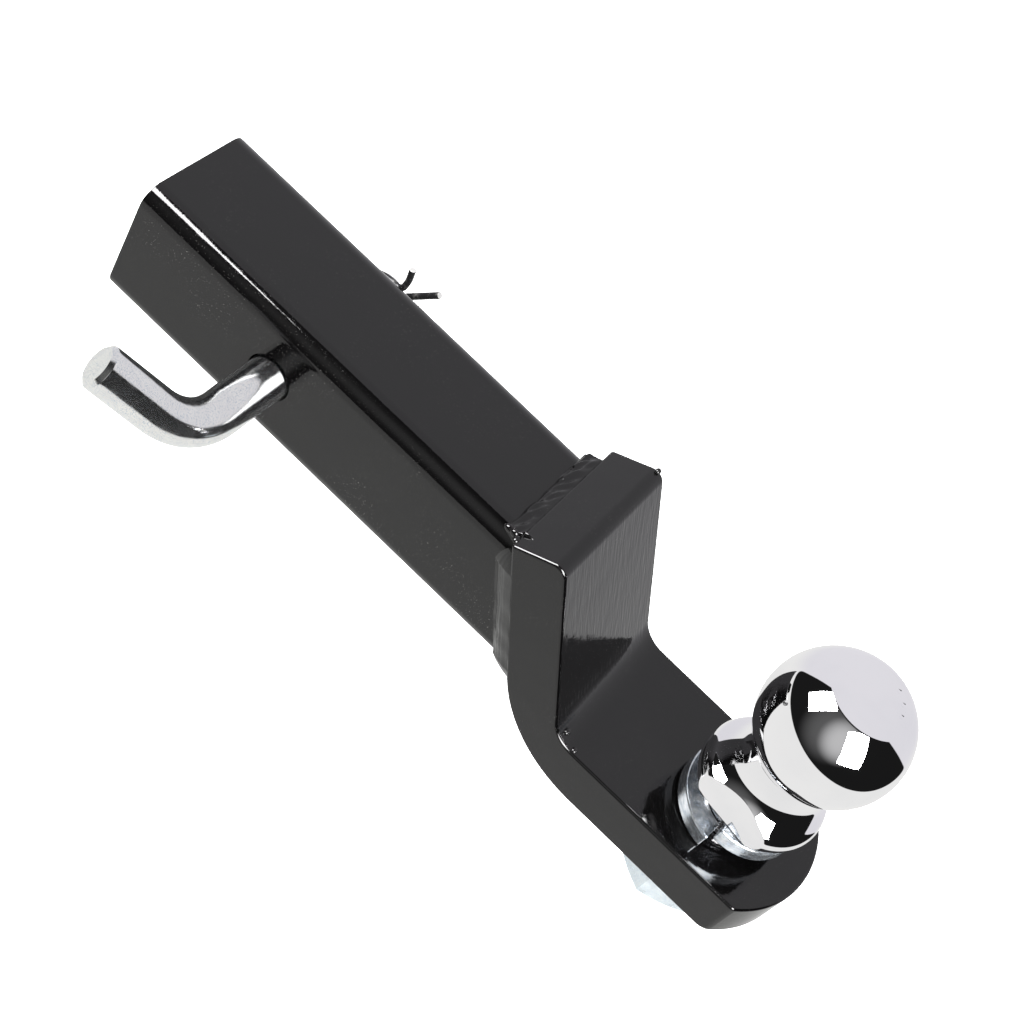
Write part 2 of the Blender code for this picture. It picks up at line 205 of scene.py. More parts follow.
# %% Hang the soft boxes
def soft_box(name, azimuth, elevation, distance, width, height, watts):
    """A rectangle of light that faces the ball from that direction."""
    light = bpy.data.lights.new(name, "AREA")
    light.shape = "RECTANGLE"
    light.size = width
    light.size_y = height
    light.energy = watts
    lamp = bpy.data.objects.new(name, light)
    aim = toward(azimuth, elevation)
    lamp.location = Vector((BALL_X, 0, ball_high.z)) + distance * aim
    lamp.rotation_euler = aim.to_track_quat("Z", "Y").to_euler()
    lamp.visible_camera = False
    bpy.context.scene.collection.objects.link(lamp)
    return lamp


left_box = soft_box("left_box", -157, 42, 1.6, 0.78, 1.12, 76)
right_box = soft_box("right_box", -48, 33, 1.6, 0.92, 1.42, 108)

# %% [markdown]
# ## Floor
# The part hangs in a vehicle's receiver and never stands on anything, so the floor is well below
# it, pale and plain. It is kept out of reflections, where the sky's own sheet stands for it.


# %% Lay the floor
def make_floor():
    bm = bmesh.new()
    bmesh.ops.create_grid(bm, x_segments=1, y_segments=1, size=6)
    bmesh.ops.translate(bm, verts=bm.verts, vec=(BALL_X / 2, 0, ball_low.z - 0.45))
    mesh = bpy.data.meshes.new("floor")
    bm.to_mesh(mesh)
    bm.free()
    floor = bpy.data.objects.new("floor", mesh)
    bpy.context.scene.collection.objects.link(floor)
    pale = bpy.data.materials.new("pale_floor")
    pale.use_nodes = True
    shader = pale.node_tree.nodes["Principled BSDF"]
    shader.inputs["Base Color"].default_value = (0.9, 0.9, 0.9, 1)
    shader.inputs["Roughness"].default_value = 0.9
    shader.inputs["Emission Color"].default_value = (1, 1, 1, 1)
    shader.inputs["Emission Strength"].default_value = 0.6
    mesh.materials.append(pale)
    floor.visible_glossy = False


make_floor()


# %% [markdown]
# ## Tools for shapes
# Three small tools make nearly every piece. One wraps a grid into a closed tube, for whatever has
# a section that runs along a path: pin, wire, washer and weld beads. One cuts a shape with
# another by an exact Boolean, for holes and mitres. One turns a finished shape into a piece, with
# weighted normals, so that flat faces stay flat in reflections right up to their rounded edges.


# %% Wrap a grid along a path
def wrapped_grid(along, around, place):
    """A closed tube: place(u, v) puts the point u along it and v around it, both from 0 to 1."""
    bm = bmesh.new()
    bmesh.ops.create_grid(bm, x_segments=along, y_segments=around, size=0.5)
    for vert in bm.verts:
        vert.co = place(vert.co.x + 0.5, vert.co.y + 0.5)
    bmesh.ops.remove_doubles(bm, verts=bm.verts, dist=1e-6)
    rims = [edge for edge in bm.edges if edge.is_boundary]
    bmesh.ops.holes_fill(bm, edges=rims, sides=0)
    bmesh.ops.recalc_face_normals(bm, faces=bm.faces)
    return bm


# %% Cut one shape with another
def boolean(target, cutter, operation="DIFFERENCE"):
    """The target cut by, cut down to or joined with the cutter. Both bmeshes are used up."""
    pair = []
    for number, bm in enumerate((target, cutter)):
        mesh = bpy.data.meshes.new(f"shape_{number}")
        bm.to_mesh(mesh)
        bm.free()
        pair.append(bpy.data.objects.new(mesh.name, mesh))
        bpy.context.scene.collection.objects.link(pair[-1])
    modifier = pair[0].modifiers.new("cut", "BOOLEAN")
    modifier.operation = operation
    modifier.solver = "EXACT"
    modifier.object = pair[1]
    graph = bpy.context.evaluated_depsgraph_get()
    graph.update()
    result = bmesh.new()
    result.from_mesh(pair[0].evaluated_get(graph).to_mesh())
    for used in pair:
        bpy.data.meshes.remove(used.data)
    return result


# %% Round the sharp edges of a shape
def round_edges(bm, width, segments=3, above=30, keep=lambda edge: True):
    """Bevels each edge whose faces turn by more than `above` degrees."""
    limit = math.radians(above)
    sharp = [e for e in bm.edges if e.is_manifold and e.calc_face_angle(0) > limit and keep(e)]
    bmesh.ops.bevel(
        bm, geom=sharp, offset=width, segments=segments, profile=0.5,
        affect="EDGES", material=-1, clamp_overlap=True,
    )
    return bm


# %% Turn a shape into a piece
def make_piece(name, bm, body, material, stands_for=(), smooth=40, weighted=True):
    mesh = bpy.data.meshes.new(name)
    bm.to_mesh(mesh)
    bm.free()
    piece = bpy.data.objects.new(name, mesh)
    bpy.context.scene.collection.objects.link(piece)
    for entry in material if isinstance(material, (list, tuple)) else [material]:
        mesh.materials.append(entry)
    mesh.shade_smooth()
    mesh.set_sharp_from_angle(angle=math.radians(smooth))
    if weighted:
        normals = piece.modifiers.new("even_normals", "WEIGHTED_NORMAL")
        normals.keep_sharp = True
    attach(piece, body)
    if stands_for:
        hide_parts(*stands_for)
    print(f"{name}: {len(mesh.polygons)} faces")
    return piece


# %% Blocks and rods to cut with
def block(size, place=Matrix(), corner=0.0, segments=10):
    """A box whose edges along X are rounded to a corner radius."""
    bm = bmesh.new()
    bmesh.ops.create_cube(bm, size=1.0)
    bmesh.ops.scale(bm, vec=size, verts=bm.verts)
    if corner:
        long_edges = [e for e in bm.edges if abs((e.verts[0].co - e.verts[1].co).x) > size[0] / 2]
        bmesh.ops.bevel(
            bm, geom=long_edges, offset=corner, segments=segments, profile=0.5,
            affect="EDGES", material=-1,
        )
    bmesh.ops.transform(bm, matrix=place, verts=bm.verts)
    return bm


def rod(radius, length, place=Matrix(), segments=96):
    """A cylinder along Z, centred, then placed."""
    bm = bmesh.new()
    bmesh.ops.create_cone(
        bm, cap_ends=True, segments=segments, radius1=radius, radius2=radius, depth=length
    )
    bmesh.ops.transform(bm, matrix=place, verts=bm.verts)
    return bm


# %% [markdown]
# ## Gloss black paint
# The steel is dipped or powder coated in gloss black. The colour is almost nothing and the clear
# surface does all the work, so the detail is in its shape: a broad waviness where the coat
# flowed, a fine orange peel, and specks of dust that settled in it and stand up a little paler.
# The specks are also set nearly three times thicker on faces that turn away from upwards. This is
# a painted sheen that makes steep faces paler and upward faces darker.


# %% Mix the paint
def new_material(name):
    made = bpy.data.materials.new(name)
    made.use_nodes = True
    tree = made.node_tree
    return made, tree, tree.nodes["Principled BSDF"]


def grain(tree, coords, scale, detail=2.0, rough=0.5, kind="Fac"):
    node = add_node(
        tree, "ShaderNodeTexNoise",
        {"Vector": coords, "Scale": scale, "Detail": detail, "Roughness": rough},
    )
    return node.outputs[kind]


def stretched(tree, coords, scale, turn=(0, 0, 0)):
    """Coordinates squeezed along an axis, so that a pattern on them runs in streaks."""
    return add_node(
        tree, "ShaderNodeMapping", {"Vector": coords, "Scale": scale, "Rotation": turn}
    ).outputs["Vector"]


def bump(tree, height, distance, under=None, strength=1.0):
    inputs = {"Height": height, "Distance": distance, "Strength": strength}
    if under is not None:
        inputs["Normal"] = under
    return add_node(tree, "ShaderNodeBump", inputs).outputs["Normal"]


def black_paint(name, peel=1.0, dust=1.0, streaks=None):
    """peel scales the waviness, dust the specks, and streaks is the scale of a brushed grain."""
    paint, tree, shader = new_material(name)
    coords = add_node(tree, "ShaderNodeTexCoord").outputs["Object"]
    flow = grain(tree, coords, 70, 1.0)
    orange = grain(tree, coords, 620, 2.0, 0.6)
    fine = grain(tree, coords, 2600, 1.0)
    specks = ramp(tree, grain(tree, coords, 2300, 1.0), 0.715 - 0.02 * dust, 0.79 - 0.02 * dust)
    patches = ramp(tree, grain(tree, coords, 38, 1.0), 0.40, 0.66)
    normal_out = add_node(tree, "ShaderNodeTexCoord").outputs["Normal"]
    facing_for_painted_sheen = add_node(tree, "ShaderNodeSeparateXYZ", {"Vector": normal_out}).outputs["Z"]
    # Painted sheen: faces that turn away from upwards get nearly three times the pale specks, so
    # they read paler and upward faces read darker
    patches = math_node(tree, "MULTIPLY", patches, ramp(tree, facing_for_painted_sheen, 0.3, 0.9, 1.0, 0.35))
    specks = math_node(tree, "MULTIPLY", specks, patches)
    normal = bump(tree, flow, 0.00012 * peel)
    normal = bump(tree, orange, 0.000016 * peel, normal)
    normal = bump(tree, fine, 0.0000025 * peel, normal)
    if streaks:
        brushed = grain(tree, stretched(tree, coords, streaks), 1.0, 0.5)
        front = add_node(
            tree, "ShaderNodeVectorMath",
            {0: normal_out, 1: (math.cos(LEAN), 0, math.sin(LEAN))}, operation="DOT_PRODUCT",
        )
        on_front = ramp(tree, front.outputs["Value"], 0.90, 0.99)
        brushed = math_node(tree, "MULTIPLY", brushed, on_front)
        normal = bump(tree, brushed, 0.00010, normal)
    normal = bump(tree, specks, 0.00002, normal)
    # The pale speck colour is partly dust and partly the painted sheen on steep faces
    base = mix_color(tree, specks, (0.0010, 0.00095, 0.0010, 1), (0.045, 0.043, 0.040, 1))
    rough = ramp(tree, orange, 0.3, 0.7, 0.05, 0.085)
    rough = math_node(tree, "ADD", rough, math_node(tree, "MULTIPLY", specks, 0.3))
    tree.links.new(base, shader.inputs["Base Color"])
    tree.links.new(rough, shader.inputs["Roughness"])
    tree.links.new(normal, shader.inputs["Normal"])
    shader.inputs["IOR"].default_value = 1.5
    return paint


tube_paint = black_paint("tube_paint")
bar_paint = black_paint("bar_paint", peel=1.3, streaks=(130, 1050, 130))
weld_paint = black_paint("weld_paint", peel=2.0, dust=0.5)
print("paints:", tube_paint.name, bar_paint.name, weld_paint.name)

# %% [markdown]
# ## Shank tube
# It is cut from square tube, whose corners are rounded by rolling. A block with rounded long
# edges is the outside, a smaller one is taken out of it, and a turned block mitres the front to
# the bar. The two pin holes are one rod taken out. Paint softens every cut edge, so those are
# bevelled last.


# %% Make the tube
def make_tube():
    long_enough = tube_high.x + 0.05
    centre = Matrix.Translation((long_enough / 2 + tube_low.x, 0, 0))
    tube = block((long_enough, 2 * HALF_SIDE, 2 * HALF_SIDE), centre, 0.0076, 14)
    inside = 2 * (HALF_SIDE - WALL)
    tube = boolean(tube, block((2 * long_enough, inside, inside), centre, 0.002, 5))
    front = Matrix.Translation((rear_face_x(0) - 0.0003, 0, 0)) @ Matrix.Rotation(-LEAN, 4, "Y")
    tube = boolean(tube, block((0.2, 0.2, 0.4), front @ Matrix.Translation((0.1, 0, 0))))
    across = Matrix.Translation((PIN_X, 0, 0)) @ Matrix.Rotation(math.radians(90), 4, "X")
    tube = boolean(tube, rod(PIN_RADIUS + 0.00056, 0.2, across))
    round_edges(tube, 0.0007, 3, above=35)
    return make_piece("tube_shell", tube, "mount", tube_paint, ["shank_tube"])


make_tube()


# %% [markdown]
# ## Tongue bar
# The bar starts as a straight flat strip with one round end, is rounded along its edges and then
# bent. Making it the same way keeps the edges even round the bend: the flat strip is bevelled
# first, sliced across where the bend will be, and each slice is then carried onto the bent shape
# between its inner and outer face.


# %% Describe the bend
NOSE_ARC = 0.0137  # how far back from its tip the nose is round
INNER_BEND = 0.0125
OUTER_BEND = 0.050
TURN = math.pi / 2 - LEAN
inner_corner = Vector((front_face_x(PLATFORM), 0, PLATFORM))
outer_corner = Vector((rear_face_x(bar_low.z), 0, bar_low.z))
down_bar = Vector((math.sin(LEAN), 0, -math.cos(LEAN)))
forwards = Vector((1, 0, 0))
INNER_TANGENT = INNER_BEND * math.tan(TURN / 2)
OUTER_TANGENT = OUTER_BEND * math.tan(TURN / 2)
SHEAR = BAR_THICKNESS * math.tan(TURN / 2)
INNER_REACH = OUTER_TANGENT - SHEAR


def round_corner(corner, radius, tangent, share):
    """The point a share of the way round an arc that rounds off a corner of the bar's face."""
    start = corner - down_bar * tangent
    inward = Vector((math.cos(LEAN), 0, math.sin(LEAN)))
    centre = start + inward * radius
    turned = share * TURN
    return centre - radius * (inward * math.cos(turned) - down_bar * math.sin(turned))


def inner_point(station):
    """On the bar's front and top face: station is -1 where the bend starts and 1 where it ends."""
    walk = station * (INNER_REACH - INNER_TANGENT + INNER_BEND * TURN / 2)
    arc = INNER_BEND * TURN / 2
    if walk < -arc:
        return inner_corner - down_bar * (INNER_TANGENT - arc - walk)
    if walk > arc:
        return inner_corner + forwards * (INNER_TANGENT - arc + walk)
    return round_corner(inner_corner, INNER_BEND, INNER_TANGENT, (walk + arc) / (2 * arc))


def bend_point(along, y, depth):
    """Where a point of the strip goes. along is 0 mid-bend, and depth is 0 on the inner face."""
    if along <= -1:
        inner = inner_corner - down_bar * (INNER_REACH - 1 - along)
        outer = outer_corner - down_bar * (OUTER_TANGENT - 1 - along)
    elif along >= 1:
        inner = inner_corner + forwards * (INNER_REACH - 1 + along)
        outer = outer_corner + forwards * (OUTER_TANGENT - 1 + along)
    else:
        inner = inner_point(along)
        outer = round_corner(outer_corner, OUTER_BEND, OUTER_TANGENT, (along + 1) / 2)
    place = inner.lerp(outer, depth / BAR_THICKNESS)
    return Vector((place.x, y, place.z))


print(f"bend starts {INNER_REACH * 1000:.1f} mm up the front face")


# %% Make the bar
def near(point, along, depth):
    """Whether a point lies at this depth and, if one is given, at this distance along."""
    return abs(point.z - depth) < 1e-5 and (along is None or abs(point.x - along) < 1e-5)


def make_bar():
    top_end = (bar_front_top - inner_corner).length - INNER_REACH
    nose = bar_high.x - inner_corner.x - INNER_REACH
    start = -1 - top_end
    end = 1 + nose
    middle = Matrix.Translation(((start + end) / 2, 0, BAR_THICKNESS / 2))
    strip = block((end - start, 2 * HALF_BAR, BAR_THICKNESS), middle)
    disc = Matrix.Translation((end - 0.040, 0, 0))
    rounder = rod(0.040, 0.2, disc, 192)
    short_of_nose = Matrix.Translation(((start + end) / 2 - 0.053, 0, 0))
    keep = block((end - start + 0.04, 0.2, 0.2), short_of_nose)
    strip = boolean(strip, boolean(rounder, keep, "UNION"), "INTERSECT")
    bmesh.ops.remove_doubles(strip, verts=strip.verts, dist=1e-5)
    bmesh.ops.dissolve_limit(
        strip, angle_limit=math.radians(0.4), verts=strip.verts, edges=strip.edges
    )
    round_edges(
        strip, 0.0044, 8, above=60, keep=lambda e: all(near(v.co, start, 0) for v in e.verts)
    )
    round_edges(
        strip, 0.0030, 6, above=60,
        keep=lambda e: all(
            near(v.co, None, BAR_THICKNESS) and v.co.x > end - NOSE_ARC for v in e.verts
        ),
    )
    round_edges(strip, 0.0013, 4, above=30)
    slices = 36
    for i in range(slices + 1):
        bmesh.ops.bisect_plane(
            strip, geom=[*strip.verts, *strip.edges, *strip.faces],
            plane_co=(-1 + 2 * i / slices, 0, 0), plane_no=(1, 0, 0), dist=1e-6,
        )
    for vert in strip.verts:
        vert.co = bend_point(*vert.co)
    bmesh.ops.recalc_face_normals(strip, faces=strip.faces)
    bore = Matrix.Translation((BALL_X, 0, PLATFORM))
    strip = boolean(strip, rod(STUD_RADIUS + 0.0006, 0.08, bore))
    return make_piece("bar_strip", strip, "mount", bar_paint, ["tongue_bar"], smooth=34)


make_bar()


# %% [markdown]
# ## Chrome
# Plated ball and flange are polished like a mirror. Chromium is a little dark and blue beside
# silver, and hand polishing leaves the faintest waves and hairlines, which only show at a
# reflection's edge.


# %% Plate the chrome
def chrome_plate():
    chrome, tree, shader = new_material("chrome_plate")
    coords = add_node(tree, "ShaderNodeTexCoord").outputs["Object"]
    waves = grain(tree, coords, 90, 1.0)
    hair = grain(tree, stretched(tree, coords, (1500, 1500, 160)), 1.0, 2.0)
    haze = grain(tree, coords, 45, 3.0)
    normal = bump(tree, waves, 0.00003)
    normal = bump(tree, hair, 0.0000010, normal)
    clear, hazy = (0.93, 0.925, 0.94, 1), (0.88, 0.88, 0.90, 1)
    tone = mix_color(tree, ramp(tree, haze, 0.35, 0.7), clear, hazy)
    tree.links.new(tone, shader.inputs["Base Color"])
    tree.links.new(ramp(tree, haze, 0.3, 0.8, 0.012, 0.035), shader.inputs["Roughness"])
    tree.links.new(normal, shader.inputs["Normal"])
    shader.inputs["Metallic"].default_value = 1.0
    return chrome


chrome = chrome_plate()
print(chrome.name)

# %% [markdown]
# ## Tow ball
# Ball, neck, flange and stud are forged in one and turned on a lathe, so one profile spun about
# the axis makes them all. The profile is drawn from the flat crown down, and the two wrench flats
# are cut off the flange afterwards, as they are milled on the real one.

# %% Draw the ball's profile
BALL_RADIUS = (ball_high.x - ball_low.x) / 2
CROWN_RADIUS = 0.0135
CENTRE_Z = ball_high.z - math.sqrt(BALL_RADIUS**2 - CROWN_RADIUS**2)
FLANGE_BOTTOM = washer_high.z + 0.0003
FLANGE_FOOT = 0.0212
# The dome from the flange's foot, as runs of (length, lean inwards at its start, at its end)
DOME_RUNS = (
    (0.0059, -39, -3), (0.0061, -3, 49), (0.0064, 49, 27), (0.0045, 27, 8), (0.0063, 8, 0),
)


def arc_points(centre, radius, start, end, steps):
    """(radius, height) points of an arc, by angles in degrees from the horizontal."""
    return [
        (
            centre[0] + radius * math.cos(math.radians(start + (end - start) * i / steps)),
            centre[1] + radius * math.sin(math.radians(start + (end - start) * i / steps)),
        )
        for i in range(steps + 1)
    ]


def dome_line(steps=14):
    """(radius, height) points up the flange and its dome, from the foot to the neck."""
    line = [(FLANGE_FOOT, FLANGE_BOTTOM)]
    for length, start, end in DOME_RUNS:
        for i in range(steps):
            lean = math.radians(start + (end - start) * (i + 0.5) / steps)
            radius, height = line[-1]
            step = length / steps
            line.append((radius - step * math.sin(lean), height + step * math.cos(lean)))
    return line


def ball_profile():
    dome = dome_line()
    crown = math.degrees(math.acos(CROWN_RADIUS / BALL_RADIUS))
    neck = -math.degrees(math.acos(dome[-1][0] / BALL_RADIUS))
    points = [(0, ball_high.z), (CROWN_RADIUS - 0.0008, ball_high.z)]
    points += arc_points((0, CENTRE_Z), BALL_RADIUS, crown - 1.5, neck + 2, 72)
    points += [(dome[-1][0], points[-1][1] - 0.0010)]
    points += reversed(dome)
    points += [(STUD_RADIUS, FLANGE_BOTTOM)]
    points += [(STUD_RADIUS, FLANGE_BOTTOM - 0.004)]
    points += [(STUD_RADIUS - 0.0012, FLANGE_BOTTOM - 0.0045)]
    points += [(STUD_RADIUS - 0.0012, ball_low.z + 0.001), (0, ball_low.z + 0.001)]
    return points


def spin_profile(points, steps, x=0.0):
    """A profile of (radius, height) turned once about the Z axis at x, closed at both poles."""
    bm = bmesh.new()
    verts = [bm.verts.new((r, 0, z)) for r, z in points]
    edges = [bm.edges.new(pair) for pair in zip(verts, verts[1:])]
    bmesh.ops.spin(
        bm, geom=[*verts, *edges], cent=(0, 0, 0), axis=(0, 0, 1), angle=2 * math.pi,
        steps=steps, use_merge=True, use_duplicate=False,
    )
    bmesh.ops.remove_doubles(bm, verts=bm.verts, dist=1e-6)
    bmesh.ops.translate(bm, verts=bm.verts, vec=(x, 0, 0))
    bmesh.ops.recalc_face_normals(bm, faces=bm.faces)
    return bm


print(f"ball {BALL_RADIUS * 2000:.1f} mm, centre at z {CENTRE_Z:.4f}")


# %% Make the ball
HALF_WRENCH = 0.0182
DENT_RADIUS, DENT_REACH, DENT_LIFT = 0.0016, 0.0105, 0.0013


def make_ball():
    ball = spin_profile(ball_profile(), 160, BALL_X)
    turn = Matrix.Translation((BALL_X, 0, 0)) @ Matrix.Rotation(math.radians(-8), 4, "Z")
    for side in (-1, 1):
        away = Matrix.Translation((0, side * (HALF_WRENCH + 0.02), FLANGE_BOTTOM + 0.004))
        ball = boolean(ball, block((0.08, 0.04, 0.030), turn @ away))
    round_edges(ball, 0.00035, 2, above=20, keep=lambda e: on_wrench_flat(e, turn))
    for azimuth in (60, 35, 10):
        dent = bmesh.new()
        bmesh.ops.create_icosphere(dent, subdivisions=4, radius=DENT_RADIUS)
        sideways = toward(azimuth, 0) * DENT_REACH
        bmesh.ops.translate(dent, verts=dent.verts, vec=(BALL_X, 0, ball_high.z + DENT_LIFT))
        bmesh.ops.translate(dent, verts=dent.verts, vec=sideways)
        ball = boolean(ball, dent)
    return make_piece("ball_forging", ball, "ball", chrome, ["tow_ball"], smooth=50)


def on_wrench_flat(edge, turn):
    """Whether an edge lies in the plane of one of the flats."""
    inverse = turn.inverted()
    return all(abs(abs((inverse @ v.co).y) - HALF_WRENCH) < 1e-5 for v in edge.verts)


make_ball()

# %% [markdown]
# ## Thread on the stud
# A real thread is one groove that climbs. A short edge chain, one tooth high, is wrapped about
# the axis and lowered by one pitch a turn, which gives the same helix. It sits over a plain core.

# %% Cut the thread
PITCH = 0.0254 / 14
THREAD_DEPTH = 0.0011


def make_thread():
    top = FLANGE_BOTTOM - 0.0045
    turns = int((top - ball_low.z - 0.0012) / PITCH) - 1
    around = 48
    root, crest = STUD_RADIUS - THREAD_DEPTH - 0.0003, STUD_RADIUS

    def place(u, v):
        angle = u * turns * 2 * math.pi
        drop = u * turns * PITCH
        tooth = (
            (root, 0), (root, 0.12), (crest - 0.0001, 0.45), (crest - 0.0001, 0.57),
            (root, 0.9), (root, 1), (root - 0.001, 1), (root - 0.001, 0), (root, 0),
        )
        r, h = tooth[round(v * (len(tooth) - 1))]
        fade = min(1.0, 12 * (1 - u) * turns / 6, 12 * u * turns / 6)
        r = root - 0.001 + (r - root + 0.001) * (0.25 + 0.75 * fade)
        return Vector((BALL_X + r * math.cos(angle), r * math.sin(angle), top - drop - h * PITCH))

    thread = wrapped_grid(turns * around, 8, place)
    return make_piece("stud_thread", thread, "ball", chrome, smooth=25, weighted=False)


make_thread()


# %% Cap the stud
def make_stud_end():
    end = ball_low.z
    points = [
        (0, end + 0.004), (STUD_RADIUS - 0.0012, end + 0.004),
        (STUD_RADIUS - 0.0008, end + 0.0022),
        (STUD_RADIUS - 0.0011, end + 0.0010), (STUD_RADIUS - 0.0023, end), (0, end),
    ]
    return make_piece("stud_end", spin_profile(points, 96, BALL_X), "ball", chrome)


make_stud_end()

# %% [markdown]
# ## Zinc
# Pin, washer and nut are bright zinc. Barrel plating leaves a fine grain that breaks reflections
# into specks, a blue cast in patches, and rubbed marks. The three pieces differ only in how
# coarse and how dull they are, so one recipe takes those as its settings.


# %% Mix the zinc
def zinc_plate(name, light, shade, rough, grain_depth, streak=None, mottle=240):
    zinc, tree, shader = new_material(name)
    coords = add_node(tree, "ShaderNodeTexCoord").outputs["Object"]
    patches = grain(tree, coords, mottle, 3.0, 0.65)
    specks = grain(tree, coords, 2400, 2.0, 0.7)
    spots = ramp(tree, grain(tree, coords, 2600, 2.0, 0.6), 0.50, 0.70)
    scuffs = grain(tree, coords, 60, 4.0, 0.6)
    normal = bump(tree, grain(tree, coords, 150, 2.0), 0.00005)
    normal = bump(tree, specks, grain_depth, normal)
    if streak:
        lines = grain(tree, stretched(tree, coords, streak), 1.0, 3.0, 0.6)
        normal = bump(tree, lines, 0.00002, normal)
        patches = math_node(tree, "MULTIPLY", math_node(tree, "ADD", patches, lines), 0.5)
    base = mix_color(tree, ramp(tree, patches, 0.38, 0.62), (*shade, 1), (*light, 1))
    base = mix_color(tree, ramp(tree, scuffs, 0.60, 0.72, 0.0, 0.30), base, (0.40, 0.43, 0.48, 1))
    base = mix_color(tree, math_node(tree, "MULTIPLY", spots, 0.55), base, (0.42, 0.55, 0.70, 1))
    tree.links.new(base, shader.inputs["Base Color"])
    dull = ramp(tree, patches, 0.35, 0.65, rough * 0.75, rough * 1.35)
    tree.links.new(dull, shader.inputs["Roughness"])
    tree.links.new(normal, shader.inputs["Normal"])
    tree.links.new(ramp(tree, spots, 0.0, 1.0, 0.96, 0.80), shader.inputs["Metallic"])
    return zinc


pin_zinc = zinc_plate("pin_zinc", (0.88, 0.88, 0.86), (0.84, 0.84, 0.83), 0.12, 0.000011)
washer_zinc = zinc_plate(
    "washer_zinc", (0.82, 0.84, 0.85), (0.46, 0.50, 0.54), 0.20, 0.00002, streak=(300, 300, 1200)
)
nut_zinc = zinc_plate("nut_zinc", (0.80, 0.86, 0.88), (0.72, 0.79, 0.83), 0.36, 0.000008)
print("zinc:", pin_zinc.name, washer_zinc.name, nut_zinc.name)


# %% [markdown]
# ## Lock washer
# A split washer is a square bar coiled one turn and cut, so it climbs like a spring until the nut
# flattens it. A section with rounded corners is wrapped once round and lifted as it goes.


# %% Make the washer
def rounded_square(v, width, height, corner):
    """A point v of the way round a rectangle with rounded corners, from its centre."""
    steps = 5
    around = []
    for i, (sx, sy) in enumerate(((1, 1), (-1, 1), (-1, -1), (1, -1))):
        for k in range(steps):
            angle = math.radians(90 * (i + k / (steps - 1)))
            around.append(
                (
                    sx * (width / 2 - corner) + corner * math.cos(angle),
                    sy * (height / 2 - corner) + corner * math.sin(angle),
                )
            )
    place = v * len(around)
    return around[round(place) % len(around)]


def make_washer():
    outer = (washer_high.x - washer_low.x) / 2
    inner = STUD_RADIUS + 0.0005
    thick = 0.0062
    rise = washer_high.z - washer_low.z - thick
    start = math.radians(-94)
    sweep = math.radians(357)

    def place(u, v):
        across, up = rounded_square(v, outer - inner, thick, 0.0007)
        radius = (outer + inner) / 2 + across
        angle = start - u * sweep
        height = washer_low.z + thick / 2 + up + u * rise
        return Vector((BALL_X + radius * math.cos(angle), radius * math.sin(angle), height))

    washer = wrapped_grid(200, 20, place)
    round_edges(washer, 0.0003, 2, above=60)
    return make_piece("washer_coil", washer, "mount", washer_zinc, ["lock_washer"])


washer_coil = make_washer()


# %% [markdown]
# ## Nut
# A hexagon cut down by a turned blank gets the curved corners that a nut's chamfer leaves. The
# bore is opened with a chamfer of its own.


# %% Make the nut
def make_nut():
    height = nut_high.z - nut_low.z
    flats = 0.0381
    corner = flats / 2 / math.cos(math.radians(30))
    middle = Matrix.Translation((BALL_X, 0, (nut_high.z + nut_low.z) / 2))
    turn = Matrix.Rotation(math.radians(-6.6), 4, "Z")
    nut = rod(corner, height, middle @ turn, 6)
    face, drop = flats / 2 * 0.96, (corner - flats / 2 * 0.96) * math.tan(math.radians(30))
    blank = [
        (0, nut_high.z), (face, nut_high.z),
        (corner, nut_high.z - drop), (corner + 0.003, nut_high.z - drop),
        (corner + 0.003, nut_low.z + drop), (corner, nut_low.z + drop),
        (face, nut_low.z), (0, nut_low.z),
    ]
    nut = boolean(nut, spin_profile(blank, 192, BALL_X), "INTERSECT")
    bore = STUD_RADIUS + 0.0004
    opening = [
        (0, nut_high.z + 0.002), (bore + 0.0035, nut_high.z + 0.002), (bore, nut_high.z - 0.0015),
        (bore, nut_low.z + 0.0015), (bore + 0.0035, nut_low.z - 0.002), (0, nut_low.z - 0.002),
    ]
    nut = boolean(nut, spin_profile(opening, 96, BALL_X))
    bmesh.ops.remove_doubles(nut, verts=nut.verts, dist=1e-5)
    round_edges(nut, 0.0004, 2, above=16)
    return make_piece("nut_hexagon", nut, "nut", nut_zinc, ["ball_nut"], smooth=30)


make_nut()


# %% [markdown]
# ## Hitch pin
# A round bar with chamfered ends, bent at one end for a handle. The path is straight, an arc,
# then straight again, and a ring is wrapped along it. The rings at the ends shrink for the
# chamfer.

# %% Describe the pin's path
BEND_RADIUS = 0.0231
BEND = math.radians(63)
HANDLE = 0.0236
HANDLE_TURN = math.radians(30.6)
TAIL_Y = pin_high.y
BEND_Y = -(HALF_SIDE + 0.0243)
handle_side = Vector((-math.cos(HANDLE_TURN), 0, math.sin(HANDLE_TURN)))
outward = Vector((0, -1, 0))


def pin_point(distance):
    """(point, direction) of the pin's centreline, this far from its tail."""
    straight = TAIL_Y - BEND_Y
    bend_start = Vector((PIN_X, BEND_Y, 0))
    if distance <= straight:
        return Vector((PIN_X, TAIL_Y - distance, 0)), outward
    turned = min((distance - straight) / BEND_RADIUS, BEND)
    centre = bend_start + BEND_RADIUS * handle_side
    direction = outward * math.cos(turned) + handle_side * math.sin(turned)
    point = centre + BEND_RADIUS * (outward * math.sin(turned) - handle_side * math.cos(turned))
    return point + direction * max(0.0, distance - straight - BEND_RADIUS * BEND), direction


PIN_LENGTH = TAIL_Y - BEND_Y + BEND_RADIUS * BEND + HANDLE
print(f"pin is {PIN_LENGTH * 1000:.0f} mm long before bending")

# %% Make the pin
CLIP_Y = HALF_SIDE + 0.0093
CLIP_TURN = math.radians(50.3)
WIRE_RADIUS = 0.00125


